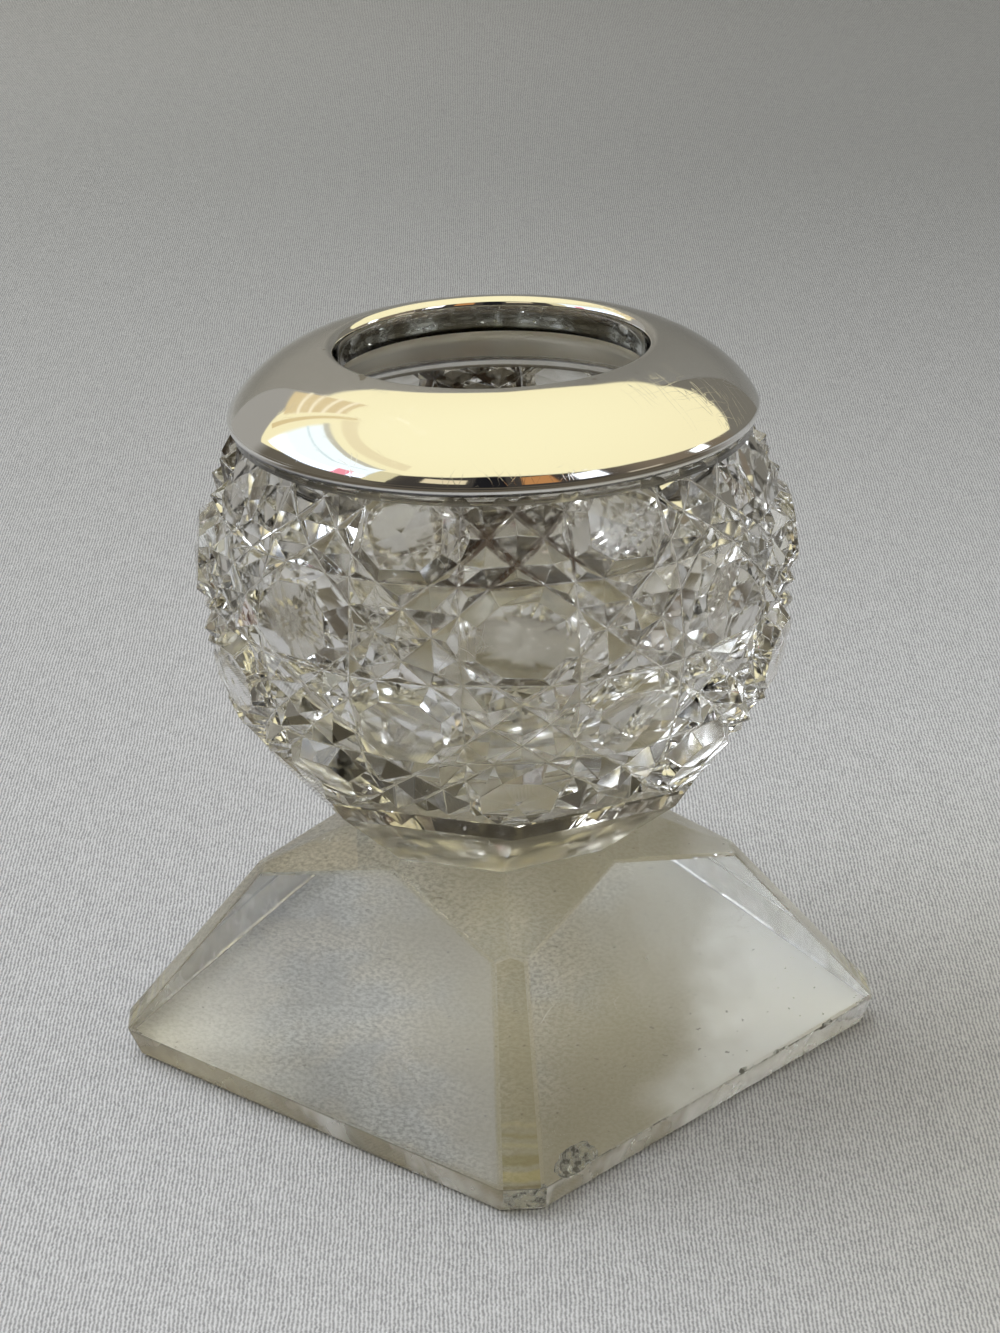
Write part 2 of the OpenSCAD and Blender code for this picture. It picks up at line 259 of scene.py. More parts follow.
def soften_edges(shape, width, least_angle, segments=2, hollows=False, lowest=-1.0, highest=100.0):
    """Rounds the edges that are sharper than least_angle: the raised ones, or the grooves where asked."""
    bmesh.ops.recalc_face_normals(shape, faces=shape.faces)
    limit = math.radians(least_angle)
    turn = -1 if hollows else 1

    def picked(edge):
        heights = [vert.co.z for vert in edge.verts]
        sharp = edge.is_manifold and turn * edge.calc_face_angle_signed() > limit
        return sharp and lowest < min(heights) and max(heights) < highest

    edges = [edge for edge in shape.edges if picked(edge)]
    bmesh.ops.bevel(
        shape, geom=edges, offset=width, segments=segments, profile=0.5, affect="EDGES", clamp_overlap=True
    )


def combine(base, tool, operation):
    """Joins the tool to the base, or takes it away, and removes the tool."""
    modifier = base.modifiers.new("combine", "BOOLEAN")
    modifier.operation = operation
    modifier.object = tool
    modifier.solver = "MANIFOLD"
    dependencies = bpy.context.evaluated_depsgraph_get()
    mesh = bpy.data.meshes.new_from_object(base.evaluated_get(dependencies))
    base.modifiers.clear()
    old = base.data
    base.data = mesh
    bpy.data.meshes.remove(old)
    bpy.data.objects.remove(tool)


# The globe's cut surface

def globe_at(z):
    """Radius of the uncut globe at height z, and how steeply it falls there."""
    fall = TOP_FALL if z > BELLY_Z else LOW_FALL
    return math.sqrt(max(0.0, GLOBE_R ** 2 - fall * (z - BELLY_Z) ** 2)), fall * (z - BELLY_Z)


def section(angle, z):
    """How far the round section is drawn in to meet the eight-sided band."""
    easing = max(0.0, 1 - (z - CUT_LOW) / (ROW_H / 2))
    eight = OCTAGON / math.cos(math.radians(angle % 45 - 22.5))
    return 1 - easing * (1 - eight)


def row_height(v):
    """Height of a place in the pattern: the lines between rows aren't quite evenly spaced."""
    row = min(ROWS - 1, max(0, math.floor(v + 0.5)))
    low, high = ROW_LINES[row], ROW_LINES[row + 1]
    return low + (high - low) * (v + 0.5 - row)


def on_globe(u, v, depth):
    """A point of the cut pattern: u counts columns, v counts rows, depth is below the uncut surface."""
    around = u * math.tau / COLUMNS
    here = Vector((math.cos(around) * WOBBLE_ROUND, math.sin(around) * WOBBLE_ROUND, v * WOBBLE_RISE))
    shift_u, shift_v, deeper = (noise.noise(here + Vector(seed)) for seed in WOBBLE_SEEDS)
    u += WOBBLE * shift_u
    v += WOBBLE * shift_v
    depth *= 1 + 3 * WOBBLE * deeper
    angle = u * 360 / COLUMNS + PATTERN_TURN * min(1.0, v + 0.5)
    z = row_height(v)
    radius, climb = globe_at(z)
    tilt = math.atan2(climb, radius)
    reach = radius * section(angle, z) - depth * math.cos(tilt)
    turn = math.radians(angle)
    return Vector((reach * math.cos(turn), reach * math.sin(turn), z - depth * math.sin(tilt)))


def four_ways(*points):
    """The points (u, v), and their copies after one, two and three quarter turns."""
    turned = []
    for _ in range(4):
        turned += points
        points = [(-v, u) for u, v in points]
    return turned


AXIS_WAYS = four_ways((1, 0))
CORNER_WAYS = four_ways((1, 1))
EIGHT_POINTS = four_ways((0.5, GROOVE_SIDE), (GROOVE_SIDE, 0.5))
CELL_RIM = four_ways((0.5, -GROOVE_SIDE), (0.5, GROOVE_SIDE), (0.5, 0.5))


class CutPattern:
    """The cut surface, made cell by cell; cells that meet share the points of their groove lines."""

    def __init__(self):
        self.shape = bmesh.new()
        self.made = {}

    def point(self, u, v, depth):
        key = (round(u % COLUMNS, 4), round(v, 4))
        if key not in self.made:
            self.made[key] = self.shape.verts.new(on_globe(u, v, CUT_DEPTH * depth))
        return self.made[key]

    def points(self, column, row, places, share, depth):
        return [self.point(column + share * u, row + share * v, depth) for u, v in places]

    def fan(self, ring, tip):
        for k in range(len(ring)):
            self.shape.faces.new((ring[k], ring[(k + 1) % len(ring)], tip))

    def cell(self, column, row):
        rim = self.points(column, row, CELL_RIM, 1, 1)
        corners = [[rim[(3 * k + n) % 12] for n in (1, 2, 3)] for k in range(4)]
        if (column + row) % 2 == 0:
            self.hobnail(column, row, corners)
        else:
            self.star(column, row, rim, corners)

    def hobnail(self, column, row, corners):
        """An eight-sided flat inside eight slopes, with a low tip in each corner of the cell."""
        flat = self.points(column, row, EIGHT_POINTS, HOB_FLAT, 0)
        ring = self.points(column, row, EIGHT_POINTS, 1, 1)
        self.fan(flat, self.point(column, row, 0))
        bridge(self.shape, ring, flat)
        for corner, way in zip(corners, CORNER_WAYS):
            tip, = self.points(column, row, [way], CORNER_TIP, CORNER_TIP_DEPTH)
            self.fan(corner, tip)

    def star(self, column, row, rim, corners):
        """A raised middle, four wedges and four kites, which make an eight-pointed star."""
        cross = self.points(column, row, AXIS_WAYS, DIAGONAL_OFFSET, 1)
        self.fan(cross, self.point(column, row, 0))
        for k, way in enumerate(AXIS_WAYS):
            tip, = self.points(column, row, [way], WEDGE_AT, WEDGE_DEPTH)
            self.fan([cross[k], rim[3 * k], rim[3 * k + 1]], tip)
        for k, way in enumerate(CORNER_WAYS):
            tip, = self.points(column, row, [way], KITE_AT, KITE_DEPTH)
            self.fan([cross[k], *corners[k], cross[(k + 1) % 4]], tip)

    def close(self, v, z):
        """Carries the pattern's first or last line into the plain glass, and caps it there."""
        root = 2 * CUT_DEPTH
        steps = [column + du for column in range(COLUMNS) for du in (-0.5, -GROOVE_SIDE, GROOVE_SIDE)]
        line = [self.point(u, v, 1) for u in steps]
        ring = []
        for vert in line:
            radius = math.hypot(vert.co.x, vert.co.y)
            share = (radius - root) / radius
            ring.append(self.shape.verts.new((vert.co.x * share, vert.co.y * share, z)))
        bridge(self.shape, line, ring)
        self.shape.faces.new(ring)


def cut_globe():
    """Hobnail and star cells in turn, closed by plain rings above and below."""
    pattern = CutPattern()
    for row in range(ROWS):
        for column in range(COLUMNS):
            pattern.cell(column, row)
    pattern.close(-0.5, ROW_LINES[0] - 2 * CUT_DEPTH)
    pattern.close(ROWS - 0.5, ROW_LINES[-1] + 2 * CUT_DEPTH)
    return pattern.shape


# The foot, the neck and the hollow

def half_spaces(planes, size):
    """A convex solid, left of a cube after a cut by each plane (point, outward normal)."""
    shape = bmesh.new()
    bmesh.ops.create_cube(shape, size=size)
    for point, normal in planes:
        whole = shape.verts[:] + shape.edges[:] + shape.faces[:]
        cut = bmesh.ops.bisect_plane(
            shape, geom=whole, plane_co=point, plane_no=normal, clear_outer=True, dist=1e-5
        )
        edges = [part for part in cut["geom_cut"] if isinstance(part, bmesh.types.BMEdge)]
        bmesh.ops.contextual_create(shape, geom=edges)
    return shape


def plane_through(turn, low, high):
    """A plane at an angle round Z, through the points (x, z) low and high of its own section."""
    angle = math.radians(turn)
    slope = Vector((high[0] - low[0], high[1] - low[1]))
    normal = Vector((slope.y * math.cos(angle), slope.y * math.sin(angle), -slope.x)).normalized()
    return Vector((low[0] * math.cos(angle), low[0] * math.sin(angle), low[1])), normal


def foot():
    """The solid foot: underside, undercut bevel, large faces, corner chamfers and upper facets."""
    half_w, diagonal = FOOT_W / 2, math.sqrt(2)
    drop = math.tan(math.radians(FACET_SLOPE))
    waist_flat = WAIST_W / 2 * OCTAGON
    top_x = WAIST_W / 2 + WAIST_LEDGE
    top_z = FOOT_H - (top_x * OCTAGON - waist_flat) * drop
    lean = (half_w - top_x) / (top_z - BEVEL_H)
    ridge_drop = OCTAGON * drop
    ridge_start = FOOT_H + waist_flat * drop - (half_w + BEVEL_H * lean) * diagonal * ridge_drop
    ridge_z = (ridge_start + CORNER_CUT_TOP * ridge_drop) / (1 - lean * diagonal * ridge_drop)
    corner_low = FOOT_W / diagonal - CORNER_CUT
    corner_foot = corner_low - BEVEL_IN * diagonal
    corner_top = (half_w - (ridge_z - BEVEL_H) * lean) * diagonal - CORNER_CUT_TOP
    planes = [(Vector((0, 0, 0)), Vector((0, 0, -1))), (Vector((0, 0, FOOT_H)), Vector((0, 0, 1)))]
    for turn in range(0, 360, 90):
        planes.append(plane_through(turn, (half_w - BEVEL_IN, 0), (half_w, BEVEL_H)))
        planes.append(plane_through(turn, (half_w, BEVEL_H), (top_x, top_z)))
        planes.append(plane_through(turn + 45, (corner_foot, 0), (corner_low, BEVEL_H)))
        planes.append(plane_through(turn + 45, (corner_low, BEVEL_H), (corner_top, ridge_z)))
    for k in range(8):
        outer = (FOOT_W, FOOT_H - (FOOT_W - waist_flat) * drop)
        planes.append(plane_through(22.5 + 45 * k, outer, (waist_flat, FOOT_H)))
    return half_spaces(planes, 4 * FOOT_W)


def chip(centre, size, seed):
    """A small rough pebble; taken away from the foot's edge it leaves a shell-shaped chip."""
    shape = bmesh.new()
    bmesh.ops.create_icosphere(shape, subdivisions=3, radius=1)
    for vert in shape.verts:
        grain = noise.fractal(vert.co * CHIP_GRAIN + Vector((seed, 0, 0)), 0.9, 2.1, 3)
        vert.co *= 1 + CHIP_ROUGHNESS * grain
        vert.co = vert.co * Vector(size) + Vector(centre)
    return shape


def on_chip(point):
    """Whether a point of the glass lies in or beside one of the chips."""
    def distance(centre, size):
        return sum(((p - c) / s) ** 2 for p, c, s in zip(point, centre, size))

    return any(distance(centre, size) < CHIP_REACH for centre, size in CHIPS)


def neck():
    """The eight-sided neck, flared up to the plain band."""
    shape = bmesh.new()
    levels = [(WAIST_W / 2 - NECK_SINK_IN, FOOT_H - NECK_SINK), (WAIST_W / 2, FOOT_H)]
    levels += [(globe_at(z)[0], z) for z in (BAND_Z, CUT_LOW)]
    rings = [new_ring(shape, radius, z, 8) for radius, z in levels]
    for low, high in zip(rings, rings[1:]):
        bridge(shape, low, high)
    shape.faces.new(rings[0][::-1])
    shape.faces.new(rings[-1])
    return shape


def dome_circle():
    """Centre of the collar's dome in its section, and the angles where it meets the edge and the rim."""
    rim_reach, edge_reach = DOME_R - RIM_R, DOME_R - EDGE_R
    span = math.hypot(EDGE_X - RIM_X, EDGE_Z - RIM_Z)
    along = (rim_reach ** 2 - edge_reach ** 2 + span ** 2) / (2 * span)
    across = math.sqrt(rim_reach ** 2 - along ** 2)
    x = RIM_X + (along * (EDGE_X - RIM_X) + across * (EDGE_Z - RIM_Z)) / span
    z = RIM_Z + (along * (EDGE_Z - RIM_Z) - across * (EDGE_X - RIM_X)) / span
    edge_angle = math.degrees(math.atan2(EDGE_Z - z, EDGE_X - x))
    rim_angle = math.degrees(math.atan2(RIM_Z - z, RIM_X - x))
    return x, z, edge_angle, rim_angle


def lip():
    """Radius and height of the glass lip, which stays clear of the collar's dome."""
    dome_x, dome_z = dome_circle()[:2]
    lip_r = MOUTH_R + LIP_W
    return lip_r, dome_z + math.sqrt((DOME_R - SHEET_T) ** 2 - (lip_r - dome_x) ** 2) - LIP_GAP


def shoulder():
    """Plain glass from the pattern's upper edge to the lip inside the collar."""
    lip_r, lip_z = lip()
    rise, count = lip_z - LIP_EDGE - CUT_TOP, 12
    heights = [CUT_TOP + rise * k / count for k in range(count + 1)]
    curve = [(max(lip_r, globe_at(z)[0]), z) for z in heights]
    return revolve([(0, CUT_TOP), *curve, (lip_r - LIP_EDGE, lip_z), (0, lip_z)], GLASS_STEPS)


def upper_hollow(z):
    """Radius of the hollow at height z, above its widest place."""
    return math.sqrt(max(0.0, HOLLOW_R ** 2 - HOLLOW_FALL * (z - HOLLOW_Z) ** 2))


def hollow():
    """The inside of the bowl, as a solid to take away."""
    lip_z = lip()[1]
    count = 40
    heights = [HOLLOW_Z + (lip_z - HOLLOW_Z) * k / count for k in range(1, count)]
    low = arc(HOLLOW_R - BOWL_DEPTH, HOLLOW_Z, BOWL_DEPTH, -90, 0, 28)
    high = [(upper_hollow(z), z) for z in heights if upper_hollow(z) > MOUTH_R]
    mouth = [(MOUTH_R, high[-1][1] + MOUTH_EASE), (MOUTH_R, lip_z + LAP)]
    return revolve([(0, BOWL_FLOOR_Z), *low, *high, *mouth, (0, lip_z + LAP)], GLASS_STEPS)


def inside_at(z):
    """Radius of the bowl's inside at height z, near enough to tell its faces from the cut ones."""
    if z < HOLLOW_Z:
        return HOLLOW_R - BOWL_DEPTH + math.sqrt(max(0.0, BOWL_DEPTH ** 2 - (HOLLOW_Z - z) ** 2))
    return max(MOUTH_R, upper_hollow(z))


# The two pieces

def lean_over(piece):
    """The globe and collar sit a little to the right of the foot's middle, as on the real piece."""
    right = camera_axes()[0]
    start, end = metres(FOOT_H, BAND_Z)
    for vert in piece.data.vertices:
        share = min(1.0, max(0.0, (vert.co.z - start) / (end - start)))
        vert.co += right * (OFF_CENTRE * MM * share)


def glass_slot(face):
    """Which of the glass materials a face takes."""
    x, y, z = face.center
    normal = face.normal
    on_bowl_wall = z > BOWL_FLOOR_Z - 0.1 and math.hypot(x, y) < inside_at(z) + 0.1
    looks_in = normal.x * x + normal.y * y < 0
    if z < 0.01:
        return UNDERSIDE
    if z < FOOT_H / 2 and on_chip(face.center):
        return CHIPPED
    if z < BEVEL_H and normal.z < 0:
        return BEVEL
    if z < 0.8 * FOOT_H and abs(abs(normal.x) - abs(normal.y)) < 0.1:
        return CORNER
    if on_bowl_wall and (looks_in or z < BOWL_FLOOR_Z + 1):
        return INSIDE
    return OUTSIDE


def make_glass():
    """The glass: cut globe, neck and foot in one piece, with the hollow and the chips taken away."""
    pattern = cut_globe()
    soften_edges(pattern, GROOVE_ROUND, 8, hollows=True, lowest=CUT_LOW + 1, highest=CUT_TOP + 1)
    soften_edges(pattern, RIDGE_ROUND, 14)
    body = new_object("glass_body_cut", pattern)
    base = foot()
    soften_edges(base, FOOT_ROUND, 4, segments=3)
    plinth = new_object("foot_solid", base)
    for k, (centre, size) in enumerate(CHIPS):
        combine(plinth, new_object(f"chip_{k}", chip(centre, size, CHIP_SEED * k)), "DIFFERENCE")
    combine(body, plinth, "UNION")
    combine(body, new_object("neck_solid", neck()), "UNION")
    combine(body, new_object("shoulder_solid", shoulder()), "UNION")
    combine(body, new_object("hollow_solid", hollow()), "DIFFERENCE")
    body.data.materials.clear()
    for make_material in (cut_glass_material, inside_glass_material, ground_glass_material,
                          bevel_glass_material, corner_glass_material, chipped_glass_material):
        body.data.materials.append(make_material())
    for face in body.data.polygons:
        face.material_index = glass_slot(face)
    body.data.transform(Matrix.Scale(MM, 4))
    lean_over(body)
    return body


def collar_section(inset, edge_steps, dome_steps, rim_steps):
    """One side of the sheet, from the turned edge over the dome and round the rim."""
    dome_x, dome_z, edge_angle, rim_angle = dome_circle()
    edge = arc(EDGE_X, EDGE_Z, EDGE_R - inset, -EDGE_TURN, edge_angle, edge_steps)
    dome = arc(dome_x, dome_z, DOME_R - inset, edge_angle, rim_angle, dome_steps)
    rim = arc(RIM_X, RIM_Z, RIM_R - inset, rim_angle, 180, rim_steps)
    return edge + dome[1:] + rim[1:]


def make_collar():
    """The spun silver collar, a thin sheet with a rolled rim and a short wall inside the mouth."""
    low = TOP_Z - DROP_H
    outside = collar_section(0, 14, 36, 16)
    outside += [(OPENING_R, low + DROP_CHAMFER), (OPENING_R + DROP_CHAMFER, low)]
    inside = collar_section(SHEET_T, 8, 36, 8) + [(OPENING_R + SHEET_T, low)]
    shape = bmesh.new()
    rings = [new_ring(shape, r, z, COLLAR_STEPS) for r, z in outside + inside[::-1]]
    for one, two in zip(rings, rings[1:] + rings[:1]):
        bridge(shape, one, two, smooth=True)
    bmesh.ops.recalc_face_normals(shape, faces=shape.faces)
    collar = new_object("silver_collar_spun", shape)
    collar.data.transform(Matrix.Scale(MM, 4))
    tilt = Matrix.Rotation(math.radians(COLLAR_TILT), 4, camera_axes()[2])
    pivot = Matrix.Translation((0, 0, EDGE_Z * MM))
    collar.data.transform(pivot @ tilt @ pivot.inverted())
    collar.data.materials.append(silver_material())
    lean_over(collar)
    return collar


# Materials

SHADER_INPUTS = {
    "colour": "Base Color",
    "roughness": "Roughness",
    "through": "Transmission Weight",
    "index": "IOR",
    "metal": "Metallic",
    "shine": "Specular IOR Level",
    "normal": "Normal",
}


class Tree:
    """The node tree of a material or of the world, with short calls for the nodes used here."""

    def __init__(self, tree):
        self.nodes, self.links = tree.nodes, tree.links

    def put(self, socket, value):
        if isinstance(value, bpy.types.NodeSocket):
            self.links.new(value, socket)
        else:
            socket.default_value = value

    def add(self, kind, output, inputs, **settings):
        """A new node with its settings, and its inputs by name or number; gives back one output."""
        node = self.nodes.new(f"ShaderNode{kind}")
        for name, value in settings.items():
            setattr(node, name, value)
        for name, value in inputs.items():
            self.put(node.inputs[name], value)
        return node.outputs[output]

    def feed(self, shader, **values):
        """Feeds the inputs of a shader, by the short names in SHADER_INPUTS."""
        for name, value in values.items():
            self.put(shader.inputs[SHADER_INPUTS[name]], value)

    def mix_into(self, output, mask, first, second):
        """Gives the output the first shader, and the second where the mask is 1."""
        shaders = {0: mask, 1: first.outputs[0], 2: second.outputs[0]}
        self.put(self.nodes[output].inputs["Surface"], self.add("MixShader", 0, shaders))

    def math(self, operation, *values):
        return self.add("Math", 0, dict(enumerate(values)), operation=operation)

    def times(self, first, *others):
        """The product of all the values."""
        for other in others:
            first = self.math("MULTIPLY", first, other)
        return first

    def most(self, first, second):
        return self.math("MAXIMUM", first, second)

    def length(self, x, y):
        return self.math("SQRT", self.math("ADD", self.math("POWER", x, 2.0), self.math("POWER", y, 2.0)))

    def dot(self, vector, direction):
        return self.add("VectorMath", "Value", {0: vector, 1: direction}, operation="DOT_PRODUCT")

    def step(self, value, low, high):
        """A soft step from 0 at low to 1 at high, which may also run downwards."""
        return self.add("MapRange", "Result", {0: value, 1: low, 2: high}, interpolation_type="SMOOTHSTEP")

    def hill(self, value, start, full, fade, end):
        """1 from full to fade, with soft steps down to 0 at start and at end."""
        return self.times(self.step(value, start, full), self.step(value, end, fade))

    def scale(self, *values):
        """The first value, carried from the range of the next two over to the range of the last two."""
        return self.add("MapRange", "Result", dict(enumerate(values)))

    def blend(self, mask, low, high):
        """The first colour where the mask is 0, and the second where it is 1."""
        return self.add("Mix", "Result", {"Factor": mask, "A": low, "B": high}, data_type="RGBA")

    def cover(self, under, mask, colour, share=1.0):
        """A colour laid over another where the mask is 1, at most by the given share."""
        return self.blend(self.times(mask, share) if share < 1.0 else mask, under, colour)

    def noise(self, vector, scale, detail=2.0, roughness=0.5):
        inputs = {"Vector": vector, "Scale": scale, "Detail": detail, "Roughness": roughness}
        return self.add("TexNoise", "Fac", inputs)

    def stretch(self, vector, factors, turn=0.0):
        return self.add("Mapping", "Vector", {"Vector": vector, "Rotation": (0, 0, turn), "Scale": factors})

    def place(self):
        """The point of the surface in the frame's own axes, in metres."""
        return self.add("TexCoord", "Object", {})

    def split(self, vector):
        node = self.nodes.new("ShaderNodeSeparateXYZ")
        self.put(node.inputs[0], vector)
        return node.outputs[0], node.outputs[1], node.outputs[2]

    def bump(self, height, distance, **under):
        """A normal turned by the height, on top of another bumped Normal where one is given."""
        return self.add("Bump", "Normal", {"Height": height, "Distance": distance, **under})

    def light_path(self):
        """Two masks: rays that come from a mirror or through glass, and only those through glass."""
        node = self.nodes.new("ShaderNodeLightPath")
        through = node.outputs["Is Transmission Ray"]
        return self.most(node.outputs["Is Glossy Ray"], through), through


def new_material(name):
    material = bpy.data.materials.new(name)
    material.use_nodes = True
    return material, Tree(material.node_tree), material.node_tree.nodes["Principled BSDF"]


def scratches(tree, place, *sets):
    """Thin straight hairlines in sets of (scale, stretch, turn): 1 on a line and 0 between them."""
    masks = []
    for scale, stretch, turn in sets:
        lines = tree.noise(tree.stretch(place, stretch, turn), scale, 1.0)
        masks.append(tree.step(tree.math("ABSOLUTE", tree.math("SUBTRACT", lines, 0.5)), 0.012, 0.0))
    return tree.most(*masks)


# Glass, clear and faintly warm
GLASS_IOR = 1.51
GLASS_TINT = (0.985, 0.98, 0.96, 1)
BAND_TINT = (0.4, 0.36, 0.29, 1)
NECK_TINT = (0.5, 0.46, 0.35, 1)
DIRT_DARK = (0.03, 0.016, 0.01, 1)
DIRT_BROWN = (0.13, 0.075, 0.04, 1)
FILM_DULL = (0.76, 0.73, 0.66, 1)
FILM_CLEAR = (0.94, 0.93, 0.9, 1)
MOUTH_KHAKI = (0.6, 0.55, 0.42, 1)

# Underside
GROUND_TINT = (0.8, 0.76, 0.66, 1)
SCUFF_DARK = (0.36, 0.355, 0.33, 1)
SCUFF_LIGHT = (0.66, 0.66, 0.63, 1)
BEIGE_DARK = (0.41, 0.385, 0.325, 1)
BEIGE_LIGHT = (0.69, 0.655, 0.57, 1)
DULL_DARK = (0.37, 0.335, 0.235, 1)
DULL_LIGHT = (0.46, 0.42, 0.315, 1)
DULL_GRAIN = (0.9, 0.88, 0.78, 1)
FLECK = (0.25, 0.24, 0.2, 1)
SPECK = (0.22, 0.2, 0.16, 1)
LEFT_PALE_LOW = (0.84, 0.83, 0.77, 1)
LEFT_PALE_HIGH = (1.0, 0.99, 0.94, 1)
# Painted light on the underside's right end, where the window's light falls through the glass
RIGHT_PAINTED_LIGHT = (0.98, 0.98, 0.95, 1)

# Chips, bevel and corner faces; the corner's bands go by height
CHIP_TINT = (0.5, 0.52, 0.47, 1)
CHIP_DIRT = (0.12, 0.115, 0.1, 1)
CHIP_CLEAN = (0.8, 0.82, 0.78, 1)
BEVEL_TINT = (0.9, 0.88, 0.82, 1)
BEVEL_OLIVE = (0.4, 0.35, 0.24, 1)
BEVEL_CLEAN = (1, 1, 1, 1)
BEVEL_LINE = (0.25, 0.23, 0.18, 1)
CORNER_TINT = (0.78, 0.74, 0.64, 1)
CORNER_BANDS = (
    (3.2, 3.8, (0.42, 0.37, 0.22, 1)),
    (3.8, 4.9, (1.0, 0.9, 0.45, 1)),
    (5.0, 6.1, (0.5, 0.46, 0.25, 1)),
    (6.3, 6.9, (1.0, 0.97, 0.66, 1)),
    (7.0, 7.6, (0.62, 0.57, 0.36, 1)),
    (7.8, 8.4, (1.0, 0.95, 0.7, 1)),
)
CORNER_BAND_SOFT = 0.3


def glass_shader(name, roughness, transmission, colour):
    material, tree, shader = new_material(name)
    tree.feed(shader, colour=colour, roughness=roughness, through=transmission, index=GLASS_IOR)
    return material, tree, shader


def groove_depth(tree, x, y, z):
    """How deep a place lies below the uncut globe, as a share of the cut."""
    from_belly = tree.math("SUBTRACT", z, BELLY_Z * MM)
    drop = tree.times(tree.math("POWER", from_belly, 2.0), TOP_FALL)
    uncut = tree.math("SQRT", tree.math("SUBTRACT", (GLOBE_R * MM) ** 2, drop))
    return tree.math("DIVIDE", tree.math("SUBTRACT", uncut, tree.length(x, y)), CUT_DEPTH * MM)


def dirty_grooves(tree, place, z, depth):
    """Where dirt is left: deep in the grooves below the collar, at the back and in one patch in front."""
    right, _, back = camera_axes()
    nearness = tree.dot(place, (back.x, back.y, 0))
    rear = tree.step(nearness, *metres(0, -12))
    front = tree.step(nearness, *metres(18, 26))
    off_patch = tree.math("ABSOLUTE", tree.math("SUBTRACT", tree.dot(place, right), 4.5 * MM))
    front_patch = tree.times(front, tree.step(off_patch, *metres(11, 5)))
    front_patch = tree.times(front_patch, tree.step(z, *metres(CUT_TOP - 9.1, CUT_TOP - 6.1)))
    rear_ring = tree.times(tree.step(z, *metres(CUT_TOP - 11.1, CUT_TOP - 6.1)), rear)
    deep = tree.most(tree.step(depth, 0.84, 0.97), tree.times(rear, tree.step(depth, 0.66, 0.88)))
    patches = tree.step(tree.noise(place, 420, 4, 0.65), 0.34, 0.58)
    return tree.times(deep, tree.most(front_patch, rear_ring), patches)


def cut_glass_material():
    """Wheel-cut faces: clear, with hairline scratches, dull flats, and brown dirt in the upper grooves."""
    material, tree, shader = glass_shader("cut_glass", 0.0, 1.0, GLASS_TINT)
    place = tree.place()
    x, y, z = tree.split(place)
    band = tree.hill(z, *metres(BAND_Z - 0.5, BAND_Z - 0.1, CUT_LOW - 0.2, CUT_LOW + 0.2))
    waist = tree.hill(z, *metres(FOOT_H, FOOT_H + 0.8, BAND_Z - 0.3, BAND_Z + 0.1))
    colour = tree.cover(tree.cover(GLASS_TINT, band, BAND_TINT), waist, NECK_TINT)
    tree.feed(shader, colour=colour, normal=tree.bump(tree.noise(place, 230, 1.0), 0.01 * MM))

    hairlines = scratches(tree, place, (90, (1, 6, 3), 0.4), (120, (5, 1, 2), 1.9))
    marks = tree.times(hairlines, tree.step(tree.noise(place, 160, 3), 0.52, 0.7), 0.3)
    flare = tree.hill(z, *metres(FOOT_H - 0.5, FOOT_H + 0.5, BAND_Z - 0.3, BAND_Z + 0.3))
    rings = tree.scale(tree.noise(tree.stretch(place, (1, 1, 5)), 160, 3), 0.3, 0.7, 0.05, 0.2)
    depth = groove_depth(tree, x, y, z)
    patterned = tree.hill(z, *metres(CUT_LOW + 1.9, CUT_LOW + 3.9, CUT_TOP - 0.1, CUT_TOP + 0.6))
    flats = tree.times(tree.step(depth, 0.1, 0.03), patterned)
    dull = tree.scale(tree.noise(place, 380, 4, 0.6), 0.4, 0.65, 0.0, 0.09)
    rough = tree.most(marks, tree.times(flare, rings))
    tree.feed(shader, roughness=tree.most(rough, tree.times(flats, dull)))

    dirt = tree.nodes.new("ShaderNodeBsdfPrincipled")
    tree.feed(dirt, colour=tree.blend(tree.noise(place, 900, 3), DIRT_DARK, DIRT_BROWN), roughness=0.85)
    tree.mix_into("Material Output", dirty_grooves(tree, place, z, depth), shader, dirt)
    return material


def inside_glass_material():
    """The inside of the bowl: slightly dull and rippled, and frosted khaki round the mouth."""
    material, tree, shader = glass_shader("inside_glass", 0.1, 1.0, GLASS_TINT)
    place = tree.place()
    film = tree.noise(place, 140, 3)
    mouth = tree.step(tree.split(place)[2], *metres(CUT_TOP + 0.6, CUT_TOP + 1.6))
    clear = tree.blend(tree.step(film, 0.35, 0.65), FILM_DULL, FILM_CLEAR)
    dull = tree.scale(film, 0.35, 0.7, 0.04, 0.13)
    ripple = tree.noise(tree.stretch(place, (1, 1, 0.35)), 200, 1.0)
    tree.feed(shader, colour=tree.cover(clear, mouth, MOUTH_KHAKI), normal=tree.bump(ripple, 0.02 * MM),
              roughness=tree.most(dull, tree.times(mouth, 0.42)))
    return material


